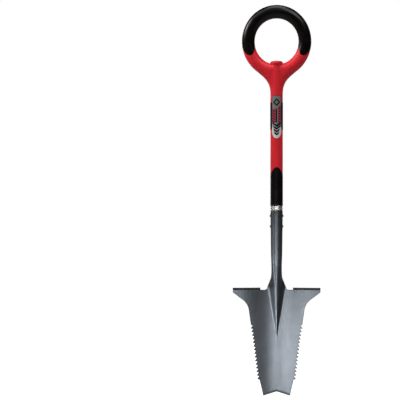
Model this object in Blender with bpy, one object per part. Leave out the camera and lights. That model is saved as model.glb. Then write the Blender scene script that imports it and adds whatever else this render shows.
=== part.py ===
"""Garden spade with a ring handle: pressed blade with sawtooth sides, riveted steel shaft, moulded handle.

Metres, +Z up. The blade's two points stand on Z = 0, X is across the blade, and the hollow (front)
face of the blade looks along -Y. Pieces are built about the shaft's centreline, then all are moved
together so that the origin is under the middle of the whole spade.
"""

import math

import bmesh
import bpy
import numpy as np

# ---------------------------------------------------------------- driving dimensions
LENGTH = 1.130  # blade points to the top of the ring
AXIS_Y = 0.0099  # the shaft's centreline, so that Y = 0 halves the depth of the whole spade
GAP = 0.0003  # clearance between pieces that touch
CUT_REACH = 0.0100  # how far a cutter runs past the piece it goes through
SHEET = 0.0020  # thickness of the blade's steel

# Blade outline, half widths and heights
POINT_HALF = 0.0379  # half distance between the two points
NOTCH_Z = 0.0116  # top of the notch between the points
TEETH_LOW_Z = 0.0474
TEETH_HIGH_Z = 0.2043
TEETH_COUNT = 15  # on each side
TOOTH_HOOK = 0.12  # height of a tooth's upper flank, as a share of the pitch
ROOT_LOW_HALF = 0.0488  # tooth roots, at the lowest and the highest tooth
ROOT_HIGH_HALF = 0.0691
TIP_LOW_HALF = 0.0563  # tooth tips, the same way
TIP_HIGH_HALF = 0.0760
SIDE_FOOT_HALF = 0.0738  # foot of the straight side, above the highest tooth
WAIST_HALF = 0.0799  # where the straight side meets the curve of the ear
WAIST_Z = 0.2470
EAR_CURVE_RADIUS = 0.045
EAR_SLOPE_DEG = 37.7
EAR_HALF = 0.1268
EAR_LOW_Z = 0.2990
EAR_TIP_CHAMFER = 0.0012
EAR_CORNER = 0.0035
TOP_Z = 0.3054  # top edge of the sheet, where the steps fold forward

# Blade section: a dished sheet with a pressed ridge down from the socket
DISH_DEPTH = 0.028
DISH_SPREAD = 0.080
FACE_Y_TOP = 0.0120  # front face on the centreline at the steps
FACE_Y_POINT = -0.0040  # and at the points, so the blade leans forward
RIDGE_POINT_Z = 0.1645
RIDGE_HALF_TOP = 0.0250
RIDGE_POWER = 1.6  # 1 is a tent, 2 is a round swell
PRISM_HALF_DEPTH = 0.08  # of the block that cuts the sheet to its outline

# Folded steps and their tread caps
STEP_INNER = 0.0480
STEP_OUTER = 0.1235
STEP_DEPTH = 0.0225
BEND_RADIUS = 0.0025
TREAD_TOP_Z = 0.3120
TREAD_LOW_Z = 0.3060
TREAD_INNER = 0.0470
TREAD_OUTER = 0.1262
TREAD_WALL = 0.0018
TREAD_RETURN = 0.0075
TREAD_ROUND = 0.0010

# Rolled socket
NECK_FILLET = 0.0080
NECK_HALF = 0.0270
FOLD_END_Z = 0.3800  # above this the socket is round
SOCKET_TOP_Z = 0.5350
SOCKET_RADII = ((0.380, 0.0152), (0.410, 0.0164), (0.473, 0.0172), (0.510, 0.0178), (0.535, 0.0178))
SOCKET_RADIUS_TOP = SOCKET_RADII[-1][1]
SEAM_SHARE = 0.980  # share of the turn that the rolled sheet covers

# Shaft, collar, rivets
TUBE_RADIUS = 0.0152
TUBE_WALL = 0.0018
TUBE_LOW_Z = 0.4650
TUBE_TOP_Z = 0.9307
COLLAR_RADIUS = 0.0179
COLLAR_TOP_Z = 0.5485
COLLAR_CHAMFER = 0.0006
COLLAR_GROOVE = 0.0005
RIVET_HEIGHTS = {"upper_rivet": 0.5197, "lower_rivet": 0.4893}
RIVET_SHANK = 0.0025
RIVET_HEAD = 0.0040
RIVET_DOME = 0.0020
PIN_Z = 0.8950
PIN_RADIUS = 0.0020
PIN_HALF = 0.0172

# Handle
SLEEVE_RADIUS = 0.0181
SLEEVE_LOW_Z = COLLAR_TOP_Z + GAP
RING_Z = 1.0245  # centre of the ring
RING_HALF_WIDTH = 0.0819  # ring centreline, across
RING_STRETCH = (LENGTH - RING_Z) / 0.1004  # the ring is a little taller than wide
RING_TUBE_HALF = 0.0185
RING_TUBE_DEPTH = 0.0162
WEB_LOW_Z = 0.8800  # from here up to WEB_TOP_Z the strip thins to the ring's depth
WEB_TOP_Z = 0.9240  # top of the strip that the ring's arms blend into
WEB_BLEND = 0.045
WEB_FAN = ((0.8580, 0.016), (0.8900, 0.019), (0.9150, 0.026), (0.9360, 0.046))  # heights and half widths
WEB_FAN_DEPTH = 0.014
NECK_TOP_Z = 0.9570
SLEEVE_JOIN_Z = 0.8660
HANDLE_VOXEL = 0.0070
CUT_MARGIN = 0.0030  # how far a cutter stands clear of the surface it cuts
SLEEVE_SIDES = 32

# Grips, moulded into recesses of the handle
RING_GRIP_WALL = 0.0022
SHAFT_GRIP_WALL = 0.0012
GRIP_LOW_Z = SLEEVE_LOW_Z
GRIP_SIDE_Z = 0.6385
GRIP_TONGUE_Z = 0.6610
GRIP_PROUD = 0.0003
GRIP_GAP = 0.0008  # wider than GAP, because the grips' faces slope and curve
RING_GRIP_SIDE = math.radians(-9.0)
RING_GRIP_TONGUE = math.radians(-28.0)
RING_TONGUE_POWER = 1.3  # low is a blunt tongue, high is a narrow one
SHAFT_TONGUE_POWER = 2.0

# End cap inside the ring
CAP_RADIUS = 0.0178
CAP_TOP_Z = 0.9688
CAP_SHOULDER = 0.0058
CAP_CROWN = 0.0012  # how far the flat of the cap swells
CAP_STEM_RADIUS = TUBE_RADIUS - TUBE_WALL - GAP
CAP_STEM_Z = 0.9120
CAP_STEM_TAPER = 0.0015

# Label
WRAP_LOW_Z = 0.7680
WRAP_TOP_Z = 0.8470
PANEL_LOW_Z = 0.7436
PANEL_TOP_Z = 0.8673
PANEL_HALF_ANGLE = math.radians(45.0)
PANEL_NOSE = 0.0220  # height over which the panel's lower end rounds off
PANEL_NOSE_SHARE = 0.98  # the rounding stops just short of the edge, so that no face closes up there
LABEL_FILM = 0.0003
LABEL_LIFT = 0.0001  # under the wrap, and twice that under the panel


# ---------------------------------------------------------------- modelling helpers
def clear_scene():
    for obj in list(bpy.data.objects):
        bpy.data.objects.remove(obj, do_unlink=True)


def material(name, colour, roughness, metallic=0.0):
    made = bpy.data.materials.new(name)
    made.use_nodes = True
    shader = made.node_tree.nodes["Principled BSDF"]
    shader.inputs["Base Color"].default_value = (*colour, 1.0)
    shader.inputs["Roughness"].default_value = roughness
    shader.inputs["Metallic"].default_value = metallic
    return made


def mesh_object(name, vertices, faces, surface=None, crease=math.radians(30)):
    """One object from points and faces, with its faces turned outwards."""
    mesh = bpy.data.meshes.new(name)
    mesh.from_pydata([tuple(v) for v in vertices], [], [tuple(f) for f in faces])
    shape = bmesh.new()
    shape.from_mesh(mesh)
    bmesh.ops.recalc_face_normals(shape, faces=shape.faces)
    shape.to_mesh(mesh)
    shape.free()
    mesh.shade_smooth()
    mesh.set_sharp_from_angle(angle=crease)
    obj = bpy.data.objects.new(name, mesh)
    bpy.context.scene.collection.objects.link(obj)
    if surface:
        mesh.materials.append(surface)
    return obj


def helper(obj):
    """Marks a cutter, which isn't part of the spade."""
    obj.hide_render = True
    obj.display_type = "WIRE"
    return obj


def boolean(obj, operation, other):
    change = obj.modifiers.new(f"{operation.lower()} {other.name}", "BOOLEAN")
    change.operation = operation
    change.solver = "EXACT"
    change.object = helper(other)


def lofted(name, loops, surface=None):
    """A solid through closed loops of equal length, its two ends capped."""
    count = len(loops[0])
    vertices = [point for loop in loops for point in loop]
    faces = [list(range(count)), list(range(len(vertices) - count, len(vertices)))]
    for i in range(len(loops) - 1):
        for j in range(count):
            k = (j + 1) % count
            faces.append([i * count + j, i * count + k, (i + 1) * count + k, (i + 1) * count + j])
    return mesh_object(name, vertices, faces, surface)


def walled(name, outer, inner, wrap, surface=None):
    """A wall between two grids of points (rows x columns). With wrap, each row is a closed ring."""
    rows, columns = len(outer), len(outer[0])
    vertices = [p for grid in (outer, inner) for row in grid for p in row]
    second = rows * columns
    faces = []
    for i in range(rows - 1):
        for j in range(columns if wrap else columns - 1):
            k = (j + 1) % columns
            quad = [i * columns + j, i * columns + k, (i + 1) * columns + k, (i + 1) * columns + j]
            faces.append(quad)
            faces.append([second + v for v in reversed(quad)])
    rims = [[(i, j) for j in range(columns + (1 if wrap else 0))] for i in (0, rows - 1)]
    if not wrap:
        rims += [[(i, j) for i in range(rows)] for j in (0, columns - 1)]
    for rim in rims:
        along = [i * columns + j % columns for i, j in rim]
        for a, b in zip(along, along[1:]):
            faces.append([a, b, second + b, second + a])
    return mesh_object(name, vertices, faces, surface)


def circle(radius, z, steps, phase=0.0):
    turns = [phase + 2 * math.pi * k / steps for k in range(steps)]
    return [(radius * math.sin(a), -radius * math.cos(a), z) for a in turns]


def sleeve(name, levels, steps, surface=None):
    """A turned sleeve: levels are (z, outer radius, inner radius)."""
    outer = [circle(r, z, steps) for z, r, _ in levels]
    inner = [circle(r, z, steps) for z, _, r in levels]
    return walled(name, outer, inner, True, surface)


def rod_along_x(name, stations, centre_z, steps, surface=None):
    """A turned rod along X: stations are (x, radius)."""
    turns = [2 * math.pi * k / steps for k in range(steps)]
    loops = [
        [(x, radius * math.cos(a), centre_z + radius * math.sin(a)) for a in turns]
        for x, radius in stations
    ]
    return lofted(name, loops, surface)


def smoothstep(t):
    t = np.clip(t, 0.0, 1.0)
    return t * t * (3 - 2 * t)


def spaced(start, end, steps):
    return [start + (end - start) * k / steps for k in range(steps + 1)]


# ---------------------------------------------------------------- blade
def arc_points(centre, radius, start_deg, end_deg, steps):
    angles = [math.radians(a) for a in spaced(start_deg, end_deg, steps)]
    return [(centre[0] + radius * math.cos(a), centre[1] + radius * math.sin(a)) for a in angles]


def right_outline():
    """The blade's right side as (x, z), from the point up to the step."""
    outline = [(POINT_HALF, 0.0)]
    pitch = (TEETH_HIGH_Z - TEETH_LOW_Z) / TEETH_COUNT
    for k in range(TEETH_COUNT + 1):
        share = k / TEETH_COUNT
        z = TEETH_LOW_Z + pitch * k
        root = ROOT_LOW_HALF + (ROOT_HIGH_HALF - ROOT_LOW_HALF) * share
        tip = TIP_LOW_HALF + (TIP_HIGH_HALF - TIP_LOW_HALF) * share if k < TEETH_COUNT else SIDE_FOOT_HALF
        outline.append((root, z - TOOTH_HOOK * pitch))
        outline.append((tip, z))
    outline.append((WAIST_HALF, WAIST_Z))
    # The ear's underside: a curve tangent to the straight side, then a straight flare.
    side = math.atan2(WAIST_Z - TEETH_HIGH_Z, WAIST_HALF - SIDE_FOOT_HALF)
    side_deg = math.degrees(side)
    centre = (
        WAIST_HALF + EAR_CURVE_RADIUS * math.sin(side),
        WAIST_Z - EAR_CURVE_RADIUS * math.cos(side),
    )
    outline += arc_points(centre, EAR_CURVE_RADIUS, side_deg + 90, EAR_SLOPE_DEG + 90, 5)[1:]
    outline.append((EAR_HALF - EAR_TIP_CHAMFER, EAR_LOW_Z - EAR_TIP_CHAMFER))
    outline.append((EAR_HALF, EAR_LOW_Z + EAR_TIP_CHAMFER))
    # Just below the sheet's top row, so that the cut never runs along it.
    ear_top = TOP_Z - 0.5 * GAP
    corner = (EAR_HALF - EAR_CORNER, ear_top - EAR_CORNER)
    outline += arc_points(corner, EAR_CORNER, 0.0, 90.0, 3)
    outline.append((STEP_OUTER + GAP, ear_top))
    outline.append((STEP_OUTER + GAP, SOCKET_TOP_Z + CUT_REACH))
    return outline


def dish(x):
    """How far the sheet comes forward at x."""
    return DISH_DEPTH * (1 - math.exp(-((x / DISH_SPREAD) ** 2)))


def socket_radius(z):
    return float(np.interp(z, *zip(*SOCKET_RADII)))


def face_y(x, z):
    """The blade's front face: dished sheet with the ridge."""
    z = min(z, TOP_Z + NECK_FILLET)
    plane = FACE_Y_POINT + (FACE_Y_TOP - FACE_Y_POINT) * z / TOP_Z
    rise = (z - RIDGE_POINT_Z) / (TOP_Z - RIDGE_POINT_Z)
    ridge = 0.0
    if rise > 0:
        across = min(1.0, abs(x) / (RIDGE_HALF_TOP * rise))
        crest = (FACE_Y_TOP + socket_radius(FOLD_END_Z)) * rise
        ridge = crest * (1 - across**RIDGE_POWER) ** RIDGE_POWER
    return plane - dish(x) - ridge


def neck_half(z):
    """Half width of the sheet between the steps, closing to the neck with a fillet."""
    down = max(0.0, TOP_Z + NECK_FILLET - z)
    return NECK_HALF + NECK_FILLET - math.sqrt(max(0.0, NECK_FILLET**2 - down**2))


def neck_point(t, z):
    """The sheet where it rolls up into the socket; t runs from -1 to 1 across it."""
    half = NECK_HALF + NECK_FILLET if z <= TOP_Z else neck_half(z)
    flat = (t * half, face_y(t * half, z))
    start = TOP_Z + NECK_FILLET
    rolled = min(1.0, max(0.0, (z - start) / (FOLD_END_Z - start)))
    turn = math.pi * t * SEAM_SHARE
    radius = socket_radius(max(z, FOLD_END_Z))
    tube = (radius * math.sin(turn), -radius * math.cos(turn))
    return (
        flat[0] + (tube[0] - flat[0]) * rolled,
        flat[1] + (tube[1] - flat[1]) * rolled,
        z,
    )


def step_point(x, stage):
    """The folded step: stages 0 to 1 run round the bend, 1 to 2 out to the front edge."""
    y = face_y(x, TOP_Z)
    if stage <= 1:
        turn = stage * math.pi / 2
        return (x, y - BEND_RADIUS * (1 - math.cos(turn)), TOP_Z + BEND_RADIUS * math.sin(turn))
    reach = BEND_RADIUS + (STEP_DEPTH - BEND_RADIUS) * (stage - 1)
    return (x, y - reach, TOP_Z + BEND_RADIUS)


def blade_sheet():
    """The front face of the whole pressing as a grid, on columns of wing, neck and wing."""
    wing = [0.0405, STEP_INNER, 0.058, 0.070, 0.084, 0.098, 0.112, STEP_OUTER, 0.131]
    columns = [("wing", -x) for x in reversed(wing)]
    columns += [("neck", t) for t in spaced(-1.0, 1.0, 24)]
    columns += [("wing", x) for x in wing]
    low_rows = [-0.006, 0.060, 0.115] + spaced(RIDGE_POINT_Z, TOP_Z, 8)
    neck_rows = [TOP_Z + NECK_FILLET * s for s in (0.15, 0.4, 0.7, 1.0)]
    neck_rows += spaced(TOP_Z + NECK_FILLET, FOLD_END_Z, 9)[1:]
    neck_rows += [z for z, _ in SOCKET_RADII[1:]]
    stages = [0.25, 0.5, 0.75, 1.0, 2.0]
    points, index = [], {}

    def add(row, column, point):
        index[row, column] = len(points)
        points.append(point)

    for c, (kind, value) in enumerate(columns):
        for r, z in enumerate(low_rows):
            flat = (value, face_y(value, z), z)
            add(r, c, neck_point(value, z) if kind == "neck" else flat)
        top = len(low_rows)
        if kind == "neck":
            for r, z in enumerate(neck_rows):
                add(top + r, c, neck_point(value, z))
        elif STEP_INNER <= abs(value) <= STEP_OUTER:
            for r, stage in enumerate(stages):
                add(top + r, c, step_point(value, stage))
    faces = []
    for r, c in index:
        corners = [(r, c), (r, c + 1), (r + 1, c + 1), (r + 1, c)]
        same_kind = r < len(low_rows) - 1 or (
            c + 1 < len(columns) and columns[c][0] == columns[c + 1][0]
        )
        if same_kind and all(corner in index for corner in corners):
            faces.append([index[corner] for corner in corners])
    return points, faces


def make_blade(steel):
    points, faces = blade_sheet()
    mesh = bpy.data.meshes.new("blade")
    mesh.from_pydata(points, [], faces)
    mesh.materials.append(steel)
    mesh.shade_smooth()
    mesh.set_sharp_from_angle(angle=math.radians(40))
    blade = bpy.data.objects.new("blade", mesh)
    bpy.context.scene.collection.objects.link(blade)
    thick = blade.modifiers.new("sheet thickness", "SOLIDIFY")
    thick.thickness = SHEET
    thick.offset = -1.0
    thick.use_even_offset = True
    right = right_outline()
    left = [(-x, z) for x, z in reversed(right)]
    outline = [(0.0, NOTCH_Z)] + right + left
    prism = [[(x, y, z) for x, z in outline] for y in (-PRISM_HALF_DEPTH, PRISM_HALF_DEPTH)]
    boolean(blade, "INTERSECT", lofted("blade_outline", prism))
    for name, z in RIVET_HEIGHTS.items():
        reach = SOCKET_RADIUS_TOP + CUT_REACH
        stations = [(-reach, RIVET_SHANK + GAP), (reach, RIVET_SHANK + GAP)]
        boolean(blade, "DIFFERENCE", rod_along_x(f"hole for {name} in blade", stations, z, 12))
    return blade


def make_tread(side, rubber):
    """A channel-shaped cap pushed onto the folded step from the front."""
    name = "left_foot_tread" if side < 0 else "right_foot_tread"
    step_low = TOP_Z + BEND_RADIUS - GAP
    step_high = TOP_Z + BEND_RADIUS + SHEET + GAP
    loops = []
    for x in spaced(TREAD_INNER, TREAD_OUTER, 8):
        face = face_y(x, TOP_Z)
        edge = face - STEP_DEPTH
        front, back = edge - TREAD_WALL, face - TREAD_ROUND
        section = [
            (back, TREAD_TOP_Z),
            (front + TREAD_ROUND, TREAD_TOP_Z),
            (front, TREAD_TOP_Z - TREAD_ROUND),
            (front, TREAD_LOW_Z + TREAD_ROUND),
            (front + TREAD_ROUND, TREAD_LOW_Z),
            (front + TREAD_RETURN, TREAD_LOW_Z),
            (front + TREAD_RETURN, step_low),
            (edge - GAP, step_low),
            (edge - GAP, step_high),
            (back, step_high),
        ]
        loops.append([(side * x, y, z) for y, z in section])
    return lofted(name, loops, rubber)


# ---------------------------------------------------------------- shaft and fasteners
def tube_radius(z):
    """The tube's end is swaged to follow the socket's taper."""
    return min(TUBE_RADIUS, socket_radius(z) - SHEET - GAP)


def make_tube(steel):
    heights = [TUBE_LOW_Z] + [z for z, _ in SOCKET_RADII if z > TUBE_LOW_Z]
    heights += [SLEEVE_JOIN_Z, TUBE_TOP_Z]
    levels = [(z, tube_radius(z), tube_radius(z) - TUBE_WALL) for z in heights]
    tube = sleeve("shaft_tube", levels, SLEEVE_SIDES, steel)
    reach = TUBE_RADIUS + CUT_REACH
    for name, z in RIVET_HEIGHTS.items():
        stations = [(-reach, RIVET_SHANK + GAP), (reach, RIVET_SHANK + GAP)]
        boolean(tube, "DIFFERENCE", rod_along_x(f"hole for {name} in tube", stations, z, 12))
    stations = [(-reach, PIN_RADIUS + GAP), (reach, PIN_RADIUS + GAP)]
    boolean(tube, "DIFFERENCE", rod_along_x("hole for anchor_pin in tube", stations, PIN_Z, 12))
    return tube


def make_rivet(name, z, steel):
    seat = socket_radius(z) + GAP
    dome = [(seat + RIVET_DOME * s, RIVET_HEAD * math.sqrt(1 - s * s)) for s in (0.0, 0.4, 0.75, 0.96)]
    half = [(seat, RIVET_SHANK)] + dome
    stations = [(-x, radius) for x, radius in reversed(half)] + half
    return rod_along_x(name, stations, z, 16, steel)


def make_collar(chrome):
    """A turned ring with chamfered rims and two grooves."""
    inner = TUBE_RADIUS + GAP
    low, high = SOCKET_TOP_Z + GAP, COLLAR_TOP_Z
    third = (high - low) / 3
    profile = [(low, COLLAR_RADIUS - COLLAR_CHAMFER), (low + COLLAR_CHAMFER, COLLAR_RADIUS)]
    for z in (low + third, high - third):
        profile.append((z - COLLAR_CHAMFER, COLLAR_RADIUS))
        profile.append((z, COLLAR_RADIUS - COLLAR_GROOVE))
        profile.append((z + COLLAR_CHAMFER, COLLAR_RADIUS))
    profile += [(high - COLLAR_CHAMFER, COLLAR_RADIUS), (high, COLLAR_RADIUS - COLLAR_CHAMFER)]
    levels = [(z, radius, inner) for z, radius in profile]
    return sleeve("collar", levels, SLEEVE_SIDES, chrome)


# ---------------------------------------------------------------- handle
def ring_flat(x, z):
    """Signed distance from the ring's outline in the front view."""
    return np.abs(np.hypot(x, (z - RING_Z) / RING_STRETCH) - RING_HALF_WIDTH) - RING_TUBE_HALF


def strip_flat(x, z):
    """Signed distance from the shaft's outline in the front view, up to the web."""
    return np.maximum(np.abs(x) - SLEEVE_RADIUS, z - WEB_TOP_Z)


def handle_field(points):
    """Zero on the handle's surface: a rounded form over the blended front outline."""
    x, y, z = points.T
    ring, strip = ring_flat(x, z), strip_flat(x, z)
    near = np.maximum(WEB_BLEND - np.abs(ring - strip), 0.0)
    outline = np.minimum(ring, strip) - near**2 / (4 * WEB_BLEND)
    thinned = smoothstep((z - WEB_LOW_Z) / (WEB_TOP_Z - WEB_LOW_Z))
    depth = SLEEVE_RADIUS + (RING_TUBE_DEPTH - SLEEVE_RADIUS) * thinned
    inwards = np.minimum(-outline / RING_TUBE_HALF, 1.0)
    return (np.hypot(1 - inwards, y / depth) - 1) * RING_TUBE_HALF


def settle_on_handle(points):
    """Moves points onto the surface along the field's slope, in damped Newton steps."""
    step, passes, damping, least_slope = 1e-5, 12, 0.8, 0.05
    for _ in range(passes):
        value = handle_field(points)
        slope = np.stack(
            [
                (handle_field(points + step * axis) - handle_field(points - step * axis)) / (2 * step)
                for axis in np.eye(3)
            ],
            axis=1,
        )
        size = np.maximum((slope**2).sum(axis=1), least_slope)
        points = points - damping * (value / size)[:, None] * slope
    return points


def handle_blank(voxel):
    """The ring and its arms as one closed skin, from a rough union that is remeshed and settled."""
    steps, around = 48, 12
    turns = [2 * math.pi * k / steps for k in range(steps)]
    rings = []
    for turn in turns:
        loop = []
        for k in range(around):
            a = 2 * math.pi * k / around
            radius = RING_HALF_WIDTH + RING_TUBE_HALF * math.cos(a)
            x = radius * math.cos(turn)
            z = RING_Z + radius * math.sin(turn) * RING_STRETCH
            loop.append((x, RING_TUBE_DEPTH * math.sin(a), z))
        rings.append(loop)
    faces = []
    for i in range(steps):
        for j in range(around):
            k, m = (j + 1) % around, (i + 1) % steps
            faces.append([i * around + j, i * around + k, m * around + k, m * around + j])
    blank = mesh_object("handle_blank", [p for loop in rings for p in loop], faces)
    fan = []
    for z, half in WEB_FAN:
        corners = ((half, 1), (-half, 1), (-half, -1), (half, -1))
        fan.append([(x, side * WEB_FAN_DEPTH, z) for x, side in corners])
    web = lofted("handle_web", fan)
    boolean(blank, "UNION", web)
    skin = blank.modifiers.new("skin", "REMESH")
    skin.mode = "VOXEL"
    skin.voxel_size = voxel
    graph = bpy.context.evaluated_depsgraph_get()
    mesh = bpy.data.meshes.new_from_object(blank.evaluated_get(graph))
    count = len(mesh.vertices)
    points = np.empty(count * 3)
    mesh.vertices.foreach_get("co", points)
    faces = [list(polygon.vertices) for polygon in mesh.polygons]
    for obj in (blank, web):
        bpy.data.objects.remove(obj, do_unlink=True)
    return settle_on_handle(points.reshape(-1, 3)), faces


def section_angles(per_quarter):
    """Angles round a section, 0 at the front, closest together where the tongues' edges are steep."""
    quarter = [math.pi / 2 * math.sin(math.pi / 2 * k / per_quarter) for k in range(per_quarter)]
    mirrored = [math.pi - a for a in quarter]
    half = quarter + [math.pi / 2] + mirrored[:0:-1]
    return half + [math.pi + a for a in half]


def ring_grip_grid(inset, widen, steps=26):
    """Points on the ring from one tongue over the top to the other, inset from the surface."""
    grid = []
    for i in range(steps + 1):
        row = []
        for a in section_angles(7):
            reach = abs(math.cos(a)) ** RING_TONGUE_POWER
            end = RING_GRIP_SIDE + (RING_GRIP_TONGUE - RING_GRIP_SIDE) * reach - widen / RING_HALF_WIDTH
            turn = end + (math.pi - 2 * end) * i / steps
            radius = RING_HALF_WIDTH + (RING_TUBE_HALF - inset) * math.sin(a)
            row.append(
                (
                    radius * math.cos(turn),
                    -(RING_TUBE_DEPTH - inset) * math.cos(a),
                    RING_Z + radius * math.sin(turn) * RING_STRETCH,
                )
            )
        grid.append(row)
    return grid


def shaft_grip_grid(radius, widen, steps=2):
    """Points on the sleeve from its foot to the two tongues."""
    grid = []
    for i in range(steps + 1):
        row = []
        for j in range(SLEEVE_SIDES):
            a = 2 * math.pi * j / SLEEVE_SIDES
            reach = abs(math.cos(a)) ** SHAFT_TONGUE_POWER
            top = GRIP_SIDE_Z + (GRIP_TONGUE_Z - GRIP_SIDE_Z) * reach + widen
            low = GRIP_LOW_Z - 10 * widen
            z = low + (top - low) * i / steps
            row.append((radius * math.sin(a), -radius * math.cos(a), z))
        grid.append(row)
    return grid


def make_ring_grip(rubber):
    outer = ring_grip_grid(-GRIP_PROUD, 0.0)
    inner = ring_grip_grid(RING_GRIP_WALL, 0.0)
    return walled("ring_grip", outer, inner, True, rubber)


def make_shaft_grip(rubber):
    outer_radius = SLEEVE_RADIUS + GRIP_PROUD
    outer = shaft_grip_grid(outer_radius, 0.0)
    inner = shaft_grip_grid(outer_radius - SHAFT_GRIP_WALL, 0.0)
    return walled("shaft_grip", outer, inner, True, rubber)


def make_handle_body(plastic):
    points, faces = handle_blank(HANDLE_VOXEL)
    body = mesh_object("handle_body", points, faces, plastic)
    # Square the lower end off, then carry the shaft down from it and up through the ring.
    below = [circle(2 * SLEEVE_RADIUS, z, 16) for z in (SLEEVE_JOIN_Z - 5 * CUT_REACH, SLEEVE_JOIN_Z)]
    boolean(body, "DIFFERENCE", lofted("below_join", below))
    shaft = [circle(SLEEVE_RADIUS, z, SLEEVE_SIDES) for z in (SLEEVE_LOW_Z, SLEEVE_JOIN_Z, NECK_TOP_Z)]
    boolean(body, "UNION", lofted("shaft_sleeve", shaft))
    bore_ends = (SLEEVE_LOW_Z - CUT_MARGIN, TUBE_TOP_Z + GAP)
    bore = [circle(TUBE_RADIUS + GAP, z, SLEEVE_SIDES) for z in bore_ends]
    boolean(body, "DIFFERENCE", lofted("tube_bore", bore))
    cap_bore = [circle(CAP_STEM_RADIUS + GAP, z, 24) for z in (TUBE_TOP_Z - CUT_MARGIN, CAP_TOP_Z)]
    boolean(body, "DIFFERENCE", lofted("cap_bore", cap_bore))
    cap_seat = [circle(CAP_RADIUS + GAP, z, 24) for z in (NECK_TOP_Z, CAP_TOP_Z)]
    boolean(body, "DIFFERENCE", lofted("cap_seat", cap_seat))
    reach = PIN_HALF + GAP
    stations = [(-reach, PIN_RADIUS + GAP), (reach, PIN_RADIUS + GAP)]
    boolean(body, "DIFFERENCE", rod_along_x("pin_bore", stations, PIN_Z, 12))
    ring_outer = ring_grip_grid(-CUT_MARGIN, GRIP_GAP)
    ring_inner = ring_grip_grid(RING_GRIP_WALL + GRIP_GAP, GRIP_GAP)
    boolean(body, "DIFFERENCE", walled("ring_recess", ring_outer, ring_inner, True))
    sleeve_inner = SLEEVE_RADIUS + GRIP_PROUD - SHAFT_GRIP_WALL - GAP
    shaft_outer = shaft_grip_grid(SLEEVE_RADIUS + CUT_MARGIN, GRIP_GAP)
    shaft_inner = shaft_grip_grid(sleeve_inner, GRIP_GAP)
    boolean(body, "DIFFERENCE", walled("shaft_recess", shaft_outer, shaft_inner, True))
    return body


def make_end_cap(plastic):
    """A plug in the top of the bore, with a low crowned head."""
    head = NECK_TOP_Z + GAP
    shoulder_z = CAP_TOP_Z - CAP_CROWN - CAP_SHOULDER
    flat = CAP_RADIUS - CAP_SHOULDER
    levels = [
        (CAP_STEM_Z, CAP_STEM_RADIUS - CAP_STEM_TAPER),
        (CAP_STEM_Z + 2 * CAP_STEM_TAPER, CAP_STEM_RADIUS),
        (head, CAP_STEM_RADIUS),
        (head, CAP_RADIUS),
    ]
    shoulder = arc_points((flat, shoulder_z), CAP_SHOULDER, 0.0, 80.0, 4)
    levels += [(z, radius) for radius, z in shoulder]
    levels.append((CAP_TOP_Z, 0.5 * flat))
    return lofted("end_cap", [circle(radius, z, 24) for z, radius in levels], plastic)


# ---------------------------------------------------------------- label
def make_label_wrap(film):
    inner = SLEEVE_RADIUS + LABEL_LIFT
    levels = [(z, inner + LABEL_FILM, inner) for z in (WRAP_LOW_Z, WRAP_TOP_Z)]
    return sleeve("label_wrap", levels, SLEEVE_SIDES, film)


def make_label_panel(film):
    inner_radius = SLEEVE_RADIUS + LABEL_FILM + 2 * LABEL_LIFT
    grids = []
    for radius in (inner_radius + LABEL_FILM, inner_radius):
        rows = []
        for i in range(9):
            row = []
            for a in spaced(-PANEL_HALF_ANGLE, PANEL_HALF_ANGLE, 16):
                across = abs(a) / PANEL_HALF_ANGLE
                nose = PANEL_LOW_Z + PANEL_NOSE * (1 - math.sqrt(1 - min(across, PANEL_NOSE_SHARE) ** 2))
                z = nose + (PANEL_TOP_Z - nose) * i / 8
                row.append((radius * math.sin(a), -radius * math.cos(a), z))
            rows.append(row)
        grids.append(rows)
    return walled("label_panel", grids[0], grids[1], False, film)


# ---------------------------------------------------------------- the spade
def build():
    clear_scene()
    coated = material("coated_steel", (0.20, 0.22, 0.24), 0.42, 0.35)
    bare = material("tube_steel", (0.45, 0.45, 0.46), 0.40, 0.9)
    zinc = material("rivet_steel", (0.22, 0.23, 0.25), 0.45, 0.7)
    chrome = material("collar_chrome", (0.75, 0.75, 0.74), 0.15, 1.0)
    red = material("red_plastic", (0.55, 0.02, 0.03), 0.40)
    black = material("grip_rubber", (0.012, 0.010, 0.010), 0.45)
    tread = material("tread_rubber", (0.010, 0.010, 0.011), 0.65)
    dark_film = material("label_dark", (0.03, 0.02, 0.03), 0.30)
    grey_film = material("label_grey", (0.35, 0.35, 0.36), 0.30)

    make_blade(coated)
    for side in (-1, 1):
        make_tread(side, tread)
    make_tube(bare)
    for name, z in RIVET_HEIGHTS.items():
        make_rivet(name, z, zinc)
    pin = [(-PIN_HALF, PIN_RADIUS), (PIN_HALF, PIN_RADIUS)]
    rod_along_x("anchor_pin", pin, PIN_Z, 12, bare)
    make_collar(chrome)
    make_handle_body(red)
    make_end_cap(red)
    make_ring_grip(black)
    make_shaft_grip(black)
    make_label_wrap(dark_film)
    make_label_panel(grey_film)

    for obj in bpy.data.objects:
        obj.location.y = AXIS_Y


build()
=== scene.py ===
"""Garden spade with a ring handle: the detailed visual model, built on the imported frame.

Metres, +Z up, the front of the blade looks along -Y. Places come from the frame's nodes; the sizes
below are those of the solids, so that every piece lies where its solid is.
"""

import math

import bmesh
import bpy
import numpy as np
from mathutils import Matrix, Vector, kdtree


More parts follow.
